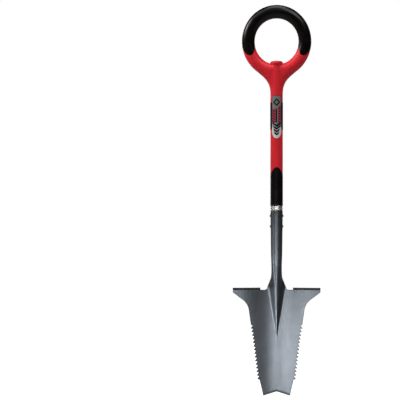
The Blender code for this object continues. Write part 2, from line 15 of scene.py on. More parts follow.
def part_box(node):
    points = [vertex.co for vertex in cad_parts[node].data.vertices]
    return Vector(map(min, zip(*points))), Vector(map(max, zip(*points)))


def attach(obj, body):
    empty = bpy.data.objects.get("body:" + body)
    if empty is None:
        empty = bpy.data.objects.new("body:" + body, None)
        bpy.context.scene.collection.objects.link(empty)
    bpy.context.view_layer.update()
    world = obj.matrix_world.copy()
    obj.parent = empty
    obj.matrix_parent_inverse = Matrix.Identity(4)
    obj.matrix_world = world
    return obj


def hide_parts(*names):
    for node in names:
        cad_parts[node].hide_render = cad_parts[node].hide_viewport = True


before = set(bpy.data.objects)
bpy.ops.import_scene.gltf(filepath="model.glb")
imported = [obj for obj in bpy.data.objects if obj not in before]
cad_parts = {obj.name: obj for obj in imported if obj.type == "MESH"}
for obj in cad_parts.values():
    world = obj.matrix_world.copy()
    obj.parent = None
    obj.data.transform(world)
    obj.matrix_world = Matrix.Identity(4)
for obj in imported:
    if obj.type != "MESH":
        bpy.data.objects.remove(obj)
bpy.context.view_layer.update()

MM = 0.001


# ---------------------------------------------------------------- places read from the frame
def low(node, axis):
    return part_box(node)[0][axis]


def high(node, axis):
    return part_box(node)[1][axis]


def middle(node, axis):
    return (low(node, axis) + high(node, axis)) / 2


AXIS_Y = middle("shaft_tube", 1)
SOCKET_TOP_Z = high("blade", 2)
EAR_HALF = high("blade", 0)
TREAD_TOP_Z = high("left_foot_tread", 2)
TREAD_LOW_Z = low("left_foot_tread", 2)
TREAD_INNER = low("right_foot_tread", 0)
TREAD_OUTER = high("right_foot_tread", 0)
SLEEVE_LOW_Z = low("shaft_grip", 2)
GRIP_TONGUE_Z = high("shaft_grip", 2)
CAP_TOP_Z = high("end_cap", 2)
RING_TOP_Z = high("ring_grip", 2)

# ---------------------------------------------------------------- sizes of the solids
GAP = 0.0003  # between neighbouring pieces
SHEET = 0.0020  # thickness of the blade's steel
HIDDEN = 0.0020  # how far an end runs out of sight inside its neighbour

# Blade outline: half widths across, and heights
POINT_HALF = 0.0379
NOTCH_Z = 0.0116
TEETH_LOW_Z = 0.0474
TEETH_HIGH_Z = 0.2043
TEETH_COUNT = 15
TOOTH_HOOK = 0.12  # height of a tooth's lower flank, as a share of the pitch
ROOT_LOW_HALF = 0.0488
ROOT_HIGH_HALF = 0.0691
TIP_LOW_HALF = 0.0563
TIP_HIGH_HALF = 0.0760
SIDE_FOOT_HALF = 0.0738
WAIST_HALF = 0.0799
WAIST_Z = 0.2470
EAR_CURVE_RADIUS = 0.045
EAR_SLOPE_DEG = 37.7
EAR_LOW_Z = 0.2990
EAR_TIP_CHAMFER = 0.0012
TOP_Z = 0.3054

# Blade surface: the hollow, the lean and the ridge
DISH_DEPTH = 0.028
DISH_SPREAD = 0.080
FACE_Y_TOP = 0.0120
FACE_Y_POINT = -0.0040
RIDGE_POINT_Z = 0.1645
RIDGE_HALF_TOP = 0.0250
RIDGE_POWER = 1.6
GROUND_WIDTH = 0.0042  # the edge ground along the notch
GROUND_SHARE = 0.75  # how much of the sheet is ground away there
GROUND_ROWS_Z = 0.0044  # rows lie close together up to here, past the ground edge
ROW_APART = 0.0010  # rows closer than this would pinch the sheet's back
BLADE_ROUND = 0.00035
ON_EDGE = 1e-9  # slack when a column lies on the edge of the neck or of a step

# Folded steps and their treads
STEP_INNER = 0.0480
STEP_OUTER = 0.1235
STEP_DEPTH = 0.0225
BEND_RADIUS = 0.0025
TREAD_WALL = 0.0018
TREAD_ROUND = 0.0010
TREAD_LIP = 0.0075
TREAD_SOFT_EDGE = 0.0005
TREAD_GROOVES = (0.16, 0.32, 0.48, 0.64, 0.80)  # shares of the way from back to front
TREAD_GROOVE_DEPTH = 0.0006
TREAD_GROOVE_HALF = 0.0007

# Neck and socket
NECK_FILLET = 0.0080
NECK_HALF = 0.0270
FOLD_END_Z = 0.3800
SOCKET_RADII = (
    (0.380, 0.0152),
    (0.410, 0.0164),
    (0.473, 0.0172),
    (0.510, 0.0178),
    (SOCKET_TOP_Z, 0.0178),
)
SEAM_SHARE = 0.980  # how far round the sheet is rolled

# Rivets, tube and collar
RIVET_HEAD = 0.0040
RIVET_SHANK = 0.0025
RIVET_RIM = 0.0003  # height of the rim under the dome
RIVET_CHAMFER = 0.0001
RIVET_DOME_SHARE = 0.97  # radius of the dome's foot, as a share of the head's
RIVET_SEAT_SHARE = 0.98  # the same where the head meets the socket
RIVET_CROWN = 0.15  # angle from the dome's top to its first ring
TUBE_RADIUS = 0.0152
COLLAR_RIM = 0.0010
COLLAR_RIM_START = 0.2  # angle left out of each rim's quarter turn, which makes a small chamfer
COLLAR_GROOVE = 0.0007
COLLAR_GROOVES = (0.30, 0.70)  # shares of the collar's height

# Handle moulding and its cap
SLEEVE_RADIUS = 0.0181
RING_Z = 1.0245
RING_HALF_WIDTH = 0.0819
RING_OUTER_HALF = 0.1004
RING_STRETCH = (RING_TOP_Z - GAP - RING_Z) / RING_OUTER_HALF
RING_TUBE_HALF = 0.0185
RING_TUBE_DEPTH = 0.0162
WEB_TOP_Z = 0.9240
WEB_BLEND = 0.045
WEB_LOW_Z = 0.8800
WEB_FAN = ((0.858, 0.017), (0.890, 0.019), (0.915, 0.026), (0.936, 0.046))  # (height, half width)
WEB_FAN_DEPTH = 0.014
ROUGH_SLEEVE_EXTRA = 0.010  # how far the rough shape runs below the cut
NECK_TOP_Z = 0.9570
POST_BLEND = 0.003
CLOSE_BLEND = 0.00001
SKIN_VOXEL = 0.0024
FIELD_STEP = 1e-5  # distance over which the field's slope is measured
SETTLE_SHARE = 0.8  # how much of the way to the surface one pass moves a point
LEAST_SLOPE = 0.05  # keeps moves short where the field is nearly flat
CAP_PROUD = 0.0003
CAP_LIP = 0.0005
CAP_SHOULDER = 0.0058
CAP_CROWN = 0.0012

# Grips
GRIP_PROUD = 0.0003
GRIP_SIDE_Z = 0.6385
RING_GRIP_SIDE = math.radians(-9.0)
RING_GRIP_TONGUE = math.radians(-28.0)
RING_TONGUE_POWER = 1.3
SHAFT_TONGUE_POWER = 2.0

# Label
FILM_LIFT = 0.0001
PANEL_LIFT = 0.0005
PANEL_FILM = 0.0003
PANEL_HALF_ANGLE = math.radians(45.0)
PANEL_NOSE = 0.0220
PANEL_CORNER = 0.0050
PANEL_ROUND_END = 0.98  # where the rounding stops, short of a corner with no width


# ---------------------------------------------------------------- mesh helpers
def spaced(start, end, steps):
    """Evenly spaced values, both ends included."""
    return [start + (end - start) * k / steps for k in range(steps + 1)]


def smoothstep(t):
    t = np.clip(t, 0.0, 1.0)
    return t * t * (3 - 2 * t)


def piece(name, points, faces, node, surface, crease_deg=35.0):
    """A new visible piece that stands for a CAD node, in the row frame."""
    mesh = bpy.data.meshes.new(name)
    mesh.from_pydata([(x, y + AXIS_Y, z) for x, y, z in points], [], [tuple(f) for f in faces])
    shape = bmesh.new()
    shape.from_mesh(mesh)
    bmesh.ops.recalc_face_normals(shape, faces=shape.faces)
    shape.to_mesh(mesh)
    shape.free()
    mesh.shade_smooth()
    mesh.set_sharp_from_angle(angle=math.radians(crease_deg))
    mesh.materials.append(surface)
    obj = bpy.data.objects.new(name, mesh)
    bpy.context.scene.collection.objects.link(obj)
    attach(obj, "root")
    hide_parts(node)
    return obj


def soften(obj, width, angle_deg=60.0, rim=None):
    """Rounds a piece's hard edges, or only the rim's where its edges are given as pairs of points."""
    bevel = obj.modifiers.new("rounded edges", "BEVEL")
    bevel.width = width
    bevel.segments = 2
    bevel.use_clamp_overlap = True
    bevel.harden_normals = False
    if rim is None:
        bevel.limit_method = "ANGLE"
        bevel.angle_limit = math.radians(angle_deg)
        return
    bevel.limit_method = "WEIGHT"
    wanted = {frozenset(edge) for edge in rim}
    chosen = [float(frozenset(edge.vertices) in wanted) for edge in obj.data.edges]
    obj.data.attributes.new("bevel_weight_edge", "FLOAT", "EDGE").data.foreach_set("value", chosen)


def grid_faces(rows, columns, wrap=False, start=0):
    """Four-sided faces of a grid of points, closed round its rows where wrap is set."""
    faces = []
    for i in range(rows - 1):
        for j in range(columns if wrap else columns - 1):
            k = (j + 1) % columns
            a, b = start + i * columns, start + (i + 1) * columns
            faces.append((a + j, a + k, b + k, b + j))
    return faces


def turned(profile, sides, along="Z", centre=0.0):
    """Points and faces of a solid of revolution. The profile is a list of (radius, height)."""
    points, rows = [], []
    for radius, height in profile:
        turns = [0.0] if radius == 0 else [2 * math.pi * k / sides for k in range(sides)]
        rows.append([len(points) + k for k in range(len(turns))])
        for a in turns:
            u, v = radius * math.sin(a), -radius * math.cos(a)
            points.append((u, v, height) if along == "Z" else (height, u, centre + v))
    faces = []
    for first, second in zip(rows, rows[1:]):
        for k in range(sides):
            m = (k + 1) % sides
            lower = [first[k % len(first)], first[m % len(first)]]
            upper = [second[m % len(second)], second[k % len(second)]]
            faces.append(tuple(dict.fromkeys(lower + upper)))
    if profile[0][0] > 0 and profile[0] == profile[-1]:
        return points, faces
    for row in (rows[0], rows[-1]):
        if len(row) > 1:
            faces.append(tuple(row))
    return points, faces


def boundary_samples(points, faces, every):
    """Points spread along the open edges of a sheet."""
    count = {}
    for face in faces:
        for a, b in zip(face, (*face[1:], face[0])):
            edge = (min(a, b), max(a, b))
            count[edge] = count.get(edge, 0) + 1
    samples = []
    for (a, b), uses in count.items():
        if uses == 1:
            start, end = Vector(points[a]), Vector(points[b])
            steps = max(1, round((end - start).length / every))
            samples += [start.lerp(end, k / steps) for k in range(steps)]
    return samples


def open_edges(faces):
    """Directed open edges of a sheet, each as its own face runs it."""
    directed = {(a, b) for face in faces for a, b in zip(face, (*face[1:], face[0]))}
    return [(a, b) for a, b in directed if (b, a) not in directed]


def edge_distances(points, faces, every=0.0006):
    """How far each point of a sheet is from its open edges."""
    samples = boundary_samples(points, faces, every)
    tree = kdtree.KDTree(len(samples))
    for i, sample in enumerate(samples):
        tree.insert(sample, i)
    tree.balance()
    return [tree.find(point)[2] for point in points]


def set_attribute(obj, name, values):
    """One number at each point, for a material to read."""
    made = obj.data.attributes.new(name, "FLOAT", "POINT")
    made.data.foreach_set("value", np.asarray(values, dtype=np.float32))


# Print on the label in millimetres, across from its middle and up from its foot
LEFT_BARS = ((-13.2, -3.2), (45.0, 85.0))
RIGHT_BARS = ((4.6, 13.2), (40.0, 93.0))
BAR_PITCH = 7.5
BAR_SLANT = 0.5
BAR_INK = (0.10, 0.78)  # share of the pitch that is red
RULE = ((-2.8, 1.4), (46.0, 86.0))
DIAMOND_UP = 104.5
DIAMOND_BAND = (6.0, 11.5)
RIM_BAND = (0.6, 1.6)
RIM_STARTS = (40.0, 60.0)
FOOT_BAND = (-5.0, 34.0)
FOOT_TAB = ((-13.2, -3.2), (30.0, 44.0))
CHEVRON_PITCH = 8.0
CHEVRON_SLANT = 0.7
CHEVRON_INK = (0.03, 0.88)
CHEVRON_BAND = (8.0, 40.0)
CHEVRON_HALF = 3.8  # half width of the chevrons at the label's foot
CHEVRON_WIDENING = 0.20  # how fast that grows upwards
LABEL_HALF = 50.0  # more than half the label's width, so that nothing is cut off there


# ---------------------------------------------------------------- materials
NOISE_RANGE = (0.3, 0.7)  # the part of a noise texture's range that it mostly uses
COAT_COLOUR = (0.117, 0.130, 0.146)
RED = (0.740, 0.0205, 0.0325)
CAP_SHADE = 0.82  # the cap's red beside the moulding's
CUT_EDGE_BAND = (0.8, 2.6)  # millimetres from the steel's edges over which their dark rim fades
BLACK = (0.0034, 0.0022, 0.0021)
SILVER_FILM = (0.230, 0.230, 0.220)
WHITE_FILM = (0.800, 0.780, 0.770)
RED_INK = (0.560, 0.045, 0.105)
DARK_INK = (0.006, 0.005, 0.007)


class Surface:
    """A Principled material and short ways to add nodes to it."""

    def __init__(self, name, roughness=0.5, metallic=0.0, specular=0.5, coat=0.0):
        self.material = bpy.data.materials.new(name)
        self.material.use_nodes = True
        self.tree = self.material.node_tree
        self.shader = self.tree.nodes["Principled BSDF"]
        self.shader.inputs["Roughness"].default_value = roughness
        self.shader.inputs["Metallic"].default_value = metallic
        self.shader.inputs["Specular IOR Level"].default_value = specular
        self.shader.inputs["Coat Weight"].default_value = coat
        self.place = self.tree.nodes.new("ShaderNodeTexCoord").outputs["Object"]

    def node(self, kind, inputs=(), **settings):
        made = self.tree.nodes.new(kind)
        for key, value in settings.items():
            setattr(made, key, value)
        for key, value in dict(inputs).items():
            self.feed(made.inputs[key], value)
        return made

    def feed(self, socket, value):
        if isinstance(value, bpy.types.NodeSocket):
            self.tree.links.new(value, socket)
        else:
            socket.default_value = value

    def noise(self, size, detail=3.0, stretch=(1, 1, 1), distortion=0.0):
        """Noise whose features are about that size in metres."""
        scaled = self.node("ShaderNodeMapping", {"Vector": self.place, "Scale": stretch})
        inputs = {
            "Vector": scaled.outputs["Vector"],
            "Scale": 1 / size,
            "Detail": detail,
            "Distortion": distortion,
        }
        return self.node("ShaderNodeTexNoise", inputs).outputs["Fac"]

    def maths(self, operation, *values, clamp=False):
        made = self.node("ShaderNodeMath", operation=operation, use_clamp=clamp)
        for socket, value in zip(made.inputs, values):
            self.feed(socket, value)
        return made.outputs["Value"]

    def spread(self, value, from_low, from_high, to_low, to_high):
        """The value's range mapped to another, smoothly and clamped."""
        inputs = {
            "Value": value,
            "From Min": from_low,
            "From Max": from_high,
            "To Min": to_low,
            "To Max": to_high,
        }
        made = self.node("ShaderNodeMapRange", inputs, interpolation_type="SMOOTHSTEP")
        return made.outputs["Result"]

    def vary(self, noise, to_low, to_high):
        """Noise's usual range mapped to another."""
        return self.spread(noise, *NOISE_RANGE, to_low, to_high)

    def mix(self, factor, first, second):
        made = self.node("ShaderNodeMix", data_type="RGBA")
        self.feed(made.inputs[0], factor)
        for socket, colour in ((made.inputs[6], first), (made.inputs[7], second)):
            self.feed(socket, colour if isinstance(colour, bpy.types.NodeSocket) else (*colour, 1.0))
        return made.outputs[2]

    def colour(self, value):
        self.feed(self.shader.inputs["Base Color"], value)

    def roughness(self, value):
        self.feed(self.shader.inputs["Roughness"], value)

    def bump(self, height, distance):
        """Relief of that depth in metres."""
        under = self.shader.inputs["Normal"].links
        inputs = {"Height": height, "Distance": distance, "Strength": 1.0}
        if under:
            inputs["Normal"] = under[0].from_socket
        made = self.node("ShaderNodeBump", inputs)
        self.feed(self.shader.inputs["Normal"], made.outputs["Normal"])


def scaled(colour, factor):
    return tuple(c * factor for c in colour)


def coated_steel():
    """Satin powder coat over pressed steel, with darker cut edges."""
    made = Surface("coated_steel", roughness=0.37, metallic=0.95, specular=0.4)
    cloud = made.noise(0.035, detail=4.0)
    fleck = made.noise(0.0012, detail=2.0)
    tone = made.mix(made.vary(cloud, 0.0, 1.0), scaled(COAT_COLOUR, 0.95), scaled(COAT_COLOUR, 1.05))
    tone = made.mix(made.spread(fleck, 0.45, 0.75, 0.0, 0.12), tone, scaled(COAT_COLOUR, 1.6))
    edge = made.node("ShaderNodeAttribute", attribute_name="edge_mm").outputs["Fac"]
    ragged = made.maths("ADD", edge, made.vary(made.noise(0.004), 0.0, 1.2))
    dark = made.spread(ragged, *CUT_EDGE_BAND, 0.75, 0.0)
    made.colour(made.mix(dark, tone, scaled(COAT_COLOUR, 0.25)))
    made.roughness(made.vary(made.noise(0.006, detail=5.0), 0.34, 0.40))
    made.bump(made.noise(0.0016, detail=3.0), 0.00003)
    made.bump(made.noise(0.012, detail=2.0), 0.00004)
    return made.material


def tread_rubber():
    """Matt black rubber."""
    made = Surface("tread_rubber", roughness=0.6, specular=0.3)
    grain = made.noise(0.0008, detail=4.0)
    made.colour(made.mix(grain, (0.006, 0.006, 0.007), (0.014, 0.014, 0.015)))
    made.roughness(made.vary(grain, 0.55, 0.75))
    made.bump(grain, 0.00008)
    return made.material


def rivet_steel():
    """Dulled zinc, a little like the coat round it."""
    made = Surface("rivet_steel", roughness=0.42, metallic=0.8)
    worn = made.noise(0.0015, detail=4.0)
    made.colour(made.mix(worn, scaled(COAT_COLOUR, 0.65), scaled(COAT_COLOUR, 1.15)))
    made.roughness(made.vary(worn, 0.34, 0.5))
    made.bump(worn, 0.00004)
    return made.material


def collar_chrome():
    """Plated steel with fine turning marks round it."""
    made = Surface("collar_chrome", roughness=0.16, metallic=1.0)
    marks = made.noise(0.030, detail=4.0, stretch=(1, 1, 60))
    made.colour(made.mix(marks, (0.62, 0.61, 0.58), (0.82, 0.81, 0.78)))
    made.roughness(made.vary(marks, 0.13, 0.26))
    made.bump(marks, 0.000004)
    return made.material


def moulded_plastic(name, tint):
    """Red moulded plastic: satin, with a fine spark texture and faint flow marks."""
    made = Surface(name, roughness=0.45, specular=0.25)
    made.shader.inputs["Subsurface Weight"].default_value = 0.06
    made.shader.inputs["Subsurface Scale"].default_value = 0.002
    made.shader.inputs["Subsurface Radius"].default_value = (1.0, 0.25, 0.15)
    flow = made.noise(0.030, detail=3.0, stretch=(1, 1, 0.3), distortion=0.6)
    spark = made.noise(0.0007, detail=2.0)
    made.colour(made.mix(made.vary(flow, 0.0, 1.0), scaled(tint, 0.94), scaled(tint, 1.05)))
    made.roughness(made.vary(made.noise(0.003, detail=4.0), 0.38, 0.50))
    made.bump(spark, 0.000025)
    return made.material


def grip_rubber():
    """Soft black overmould with a fine pebbled skin, a little polished by hands."""
    made = Surface("grip_rubber", roughness=0.30, specular=0.22)
    pebble = made.node("ShaderNodeTexVoronoi", {"Vector": made.place, "Scale": 1 / 0.0011}, feature="F1")
    polish = made.noise(0.022, detail=3.0)
    made.colour(made.mix(polish, scaled(BLACK, 0.8), scaled(BLACK, 1.3)))
    made.roughness(made.vary(polish, 0.25, 0.33))
    made.bump(pebble.outputs["Distance"], 0.00003)
    return made.material


def bare_steel():
    """Plain drawn steel for the pieces inside."""
    made = Surface("bare_steel", roughness=0.35, metallic=0.95)
    drawn = made.noise(0.004, detail=5.0, stretch=(6, 6, 0.15))
    made.colour(made.mix(drawn, (0.36, 0.36, 0.37), (0.56, 0.56, 0.57)))
    made.roughness(made.vary(drawn, 0.25, 0.45))
    made.bump(drawn, 0.00002)
    return made.material


def label_dark():
    """Dark printed film."""
    made = Surface("label_dark", roughness=0.50, specular=0.05)
    print_grain = made.noise(0.0009, detail=2.0)
    made.colour(made.mix(print_grain, (0.005, 0.0012, 0.003), (0.011, 0.003, 0.007)))
    made.roughness(made.vary(made.noise(0.006), 0.40, 0.52))
    made.bump(made.noise(0.010, detail=2.0), 0.00004)
    return made.material


def label_print():
    """A plain pattern of bars and chevrons on silver film, in the label's colours."""
    made = Surface("label_print", roughness=0.34, metallic=0.2, specular=0.3)
    place = made.node("ShaderNodeUVMap", uv_map="label_mm").outputs["UV"]
    axes = made.node("ShaderNodeSeparateXYZ", {"Vector": place})
    side, up = axes.outputs["X"], axes.outputs["Y"]
    across = made.maths("ABSOLUTE", side)
    edge = made.node("ShaderNodeAttribute", attribute_name="edge_mm").outputs["Fac"]

    def band(value, start, end, blur=0.25):
        rise = made.maths("DIVIDE", made.maths("SUBTRACT", value, start), blur, clamp=True)
        fall = made.maths("DIVIDE", made.maths("SUBTRACT", end, value), blur, clamp=True)
        return made.maths("MULTIPLY", rise, fall)

    def both(first, second):
        return made.maths("MULTIPLY", first, second)

    def patch(across_span, up_span):
        return both(band(side, *across_span), band(up, *up_span))

    grain = made.noise(0.0012, detail=3.0)
    tone = made.mix(grain, scaled(SILVER_FILM, 0.85), scaled(SILVER_FILM, 1.15))
    # A dark rim round the upper part, and a bold diamond at the top.
    rim = both(made.spread(edge, *RIM_BAND, 0.9, 0.0), made.spread(up, *RIM_STARTS, 0.0, 1.0))
    tone = made.mix(rim, tone, DARK_INK)
    from_diamond = made.maths("ABSOLUTE", made.maths("SUBTRACT", up, DIAMOND_UP))
    diamond = made.maths("ADD", across, from_diamond)
    tone = made.mix(band(diamond, *DIAMOND_BAND), tone, DARK_INK)
    # A row of slanted red bars on ink down each side, and a dark rule between them.
    rows = made.maths("ADD", patch(*LEFT_BARS), patch(*RIGHT_BARS))
    slanted = made.maths("ADD", up, made.maths("MULTIPLY", side, BAR_SLANT))
    bar = made.maths("FRACT", made.maths("DIVIDE", slanted, BAR_PITCH))
    tone = made.mix(rows, tone, DARK_INK)
    tone = made.mix(both(rows, band(bar, *BAR_INK, 0.10)), tone, RED_INK)
    tone = made.mix(patch(*RULE), tone, DARK_INK)
    # Dark chevrons on a white foot, each narrower than the one above.
    white_foot = made.maths("MAXIMUM", band(up, *FOOT_BAND, 4.0), patch(*FOOT_TAB))
    tone = made.mix(white_foot, tone, WHITE_FILM)
    lift = made.maths("SUBTRACT", up, made.maths("MULTIPLY", across, CHEVRON_SLANT))
    stripe = made.maths("FRACT", made.maths("DIVIDE", lift, CHEVRON_PITCH))
    half = made.maths("ADD", made.maths("MULTIPLY", up, CHEVRON_WIDENING), CHEVRON_HALF)
    inside = band(made.maths("SUBTRACT", half, across), 0.0, LABEL_HALF)
    marks = both(band(stripe, *CHEVRON_INK, 0.05), both(band(lift, *CHEVRON_BAND), inside))
    tone = made.mix(marks, tone, DARK_INK)
    made.colour(tone)
    made.roughness(made.vary(grain, 0.26, 0.36))
    made.bump(made.noise(0.009, detail=2.0), 0.00004)
    return made.material


# ---------------------------------------------------------------- blade
def outline_table():
    """The blade's side as (z, half width) with its teeth, and the same without them."""
    toothed, plain = [(0.0, POINT_HALF)], [(0.0, POINT_HALF)]
    pitch = (TEETH_HIGH_Z - TEETH_LOW_Z) / TEETH_COUNT
    hook = TOOTH_HOOK * pitch
    for k in range(TEETH_COUNT + 1):
        share = k / TEETH_COUNT
        z = TEETH_LOW_Z + pitch * k
        root = ROOT_LOW_HALF + (ROOT_HIGH_HALF - ROOT_LOW_HALF) * share
        tip = TIP_LOW_HALF + (TIP_HIGH_HALF - TIP_LOW_HALF) * share if k < TEETH_COUNT else SIDE_FOOT_HALF
        toothed += [(z - hook, root), (z, tip)]
        if k in (0, TEETH_COUNT):
            plain.append((z - hook, root))
    side = math.atan2(WAIST_Z - TEETH_HIGH_Z, WAIST_HALF - SIDE_FOOT_HALF)
    centre_x = WAIST_HALF + EAR_CURVE_RADIUS * math.sin(side)
    centre_z = WAIST_Z - EAR_CURVE_RADIUS * math.cos(side)
    rest = []
    for a in spaced(side + math.pi / 2, math.radians(EAR_SLOPE_DEG + 90), 12):
        rest.append((centre_z + EAR_CURVE_RADIUS * math.sin(a), centre_x + EAR_CURVE_RADIUS * math.cos(a)))
    rest.append((EAR_LOW_Z - EAR_TIP_CHAMFER, EAR_HALF - EAR_TIP_CHAMFER))
    rest.append((EAR_LOW_Z + EAR_TIP_CHAMFER, EAR_HALF))
    corner = EAR_HALF - STEP_OUTER - GAP
    rounded = [
        (TOP_Z - corner * (1 - math.sin(a)), EAR_HALF - corner * (1 - math.cos(a)))
        for a in spaced(0.0, math.pi / 2, 3)
    ]
    return toothed + rest + rounded, plain + rest + [(TOP_Z, EAR_HALF)]


TOOTHED, PLAIN = outline_table()


def half_width(table, z):
    """Half the blade's width at a height, from an outline table."""
    heights, halves = zip(*table)
    return float(np.interp(z, heights, halves))


def dish(x):
    """How far the sheet has curved forward at x."""
    return DISH_DEPTH * (1 - math.exp(-((x / DISH_SPREAD) ** 2)))


def socket_radius(z):
    return float(np.interp(z, *zip(*SOCKET_RADII)))


def face_y(x, z):
    """The blade's front face: dished sheet with the ridge."""
    z = min(z, TOP_Z + NECK_FILLET)
    plane = FACE_Y_POINT + (FACE_Y_TOP - FACE_Y_POINT) * z / TOP_Z
    rise = (z - RIDGE_POINT_Z) / (TOP_Z - RIDGE_POINT_Z)
    ridge = 0.0
    if rise > 0:
        across = min(1.0, abs(x) / (RIDGE_HALF_TOP * rise))
        crest = (FACE_Y_TOP + socket_radius(FOLD_END_Z)) * rise
        ridge = crest * (1 - across**RIDGE_POWER) ** RIDGE_POWER
    return plane - dish(x) - ridge


def neck_point(share, z, half):
    """The sheet where it rolls up into the socket; share runs from -1 to 1 across it."""
    x = share * half
    y = face_y(x, z)
    start = TOP_Z + NECK_FILLET
    rolled = min(1.0, max(0.0, (z - start) / (FOLD_END_Z - start)))
    turn = math.pi * share * SEAM_SHARE
    radius = socket_radius(max(z, FOLD_END_Z))
    x += (radius * math.sin(turn) - x) * rolled
    y += (-radius * math.cos(turn) - y) * rolled
    return (x, y, z)


def step_rows(x):
    """The folded step at x: round the bend, then out to the front edge."""
    y = face_y(x, TOP_Z)
    bend = [
        (x, y - BEND_RADIUS * (1 - math.cos(a)), TOP_Z + BEND_RADIUS * math.sin(a))
        for a in spaced(0.0, math.pi / 2, 5)[1:]
    ]
    flat = [(x, y - reach, TOP_Z + BEND_RADIUS) for reach in spaced(BEND_RADIUS, STEP_DEPTH, 5)[1:]]
    return bend + flat


def blade_rows():
    """Heights of the rows on the open blade, with one at each root and tip of the teeth."""
    corners = [z for z, _ in TOOTHED if z > 0]
    first_root = corners[0]
    foot = spaced(0.0, GROUND_ROWS_Z, 4) + spaced(GROUND_ROWS_Z, first_root, 12)[1:-1]
    tips = corners[1 : 2 * TEETH_COUNT : 2]
    roots_above = corners[2 : 2 * TEETH_COUNT + 1 : 2]
    between = [(tip + root) / 2 for tip, root in zip(tips, roots_above)]
    between += spaced(TEETH_HIGH_Z, TOP_Z, 36)
    apart = [z for z in between if min(abs(z - corner) for corner in corners) > ROW_APART]
    return foot, sorted(corners + apart)


def neck_rows(neck_foot):
    """Height and half width of the rows above the blade, up the neck and the socket."""
    rows = []
    for a in spaced(0.0, math.pi / 2, 7)[1:]:
        rows.append((TOP_Z + NECK_FILLET * (1 - math.cos(a)), neck_foot - NECK_FILLET * math.sin(a)))
    rows += [(z, NECK_HALF) for z in spaced(TOP_Z + NECK_FILLET, FOLD_END_Z, 26)[1:]]
    rows += [(z, NECK_HALF) for z in spaced(FOLD_END_Z, SOCKET_TOP_Z, 20)[1:]]
    return rows


def blade_sheet():
    """Points and faces of the whole pressing's front surface."""
    neck_foot = NECK_HALF + NECK_FILLET
    right = spaced(0.0, neck_foot, 18) + spaced(neck_foot, STEP_INNER, 5)[1:]
    right += spaced(STEP_INNER, STEP_OUTER, 26)[1:] + [EAR_HALF]
    columns = [-x for x in reversed(right[1:])] + right
    last = len(columns) - 1
    foot, body = blade_rows()
    first_root = body[0]
    top = len(foot) + len(body)
    points, index = [], {}

    def add(row, column, point):
        index[row, column] = len(points)
        points.append(point)

    for c, top_x in enumerate(columns):
        share = top_x / EAR_HALF
        edge_z = NOTCH_Z * (1 - abs(share))
        for r, z in enumerate(foot + body):
            plain = share * half_width(PLAIN, z)
            x = math.copysign(half_width(TOOTHED, z), share) if c in (0, last) else plain
            if z < first_root:
                z = edge_z + (first_root - edge_z) * z / first_root
            add(r, c, (x, face_y(x, z), z))
        if abs(top_x) <= neck_foot + ON_EDGE:
            for r, (z, half) in enumerate(neck_rows(neck_foot)):
                add(top + r, c, neck_point(top_x / neck_foot, z, half))
        elif STEP_INNER - ON_EDGE <= abs(top_x) <= STEP_OUTER + ON_EDGE:
            for r, point in enumerate(step_rows(top_x)):
                add(top + r, c, point)
    faces = []
    for r, c in index:
        corners = [(r, c), (r, c + 1), (r + 1, c + 1), (r + 1, c)]
        if all(corner in index for corner in corners):
            faces.append(tuple(index[corner] for corner in corners))
    return points, faces


def sheet_normals(points, faces):
    """A unit normal at each point, out of the front."""
    places = np.array(points)
    normals = np.zeros_like(places)
    quads = np.array(faces)
    across = places[quads[:, 2]] - places[quads[:, 0]]
    along = places[quads[:, 3]] - places[quads[:, 1]]
    flat = np.cross(across, along)
    for k in range(4):
        np.add.at(normals, quads[:, k], flat)
    return normals / np.linalg.norm(normals, axis=1)[:, None]


def make_blade(surface):
    """One sheet of steel with thickness, ground to an edge along the notch."""
    points, faces = blade_sheet()
    edge_mm = [d / MM for d in edge_distances(points, faces)]
    normals = sheet_normals(points, faces)
    back = np.array(points) - normals * SHEET
    back[:, 0] = np.clip(back[:, 0], -EAR_HALF, EAR_HALF)
    back[:, 2] = np.maximum(back[:, 2], 0.0)
    front = []
    for x, y, z in points:
        from_edge = z - NOTCH_Z * (1 - min(1.0, abs(x) / POINT_HALF))
        thinned = max(0.0, 1 - from_edge / GROUND_WIDTH)
        front.append((x, y + GROUND_SHARE * SHEET * thinned, z))
    count = len(points)
    both_sides = front + [tuple(p) for p in back]
    skin = list(faces)
    skin += [tuple(count + v for v in reversed(face)) for face in faces]
    rim = open_edges(faces)
    skin += [(b, a, count + a, count + b) for a, b in rim]
    blade = piece("blade_pressing", both_sides, skin, "blade", surface, 40.0)
    set_attribute(blade, "edge_mm", edge_mm * 2)
    soften(blade, BLADE_ROUND, rim=rim + [(count + a, count + b) for a, b in rim])
    return blade


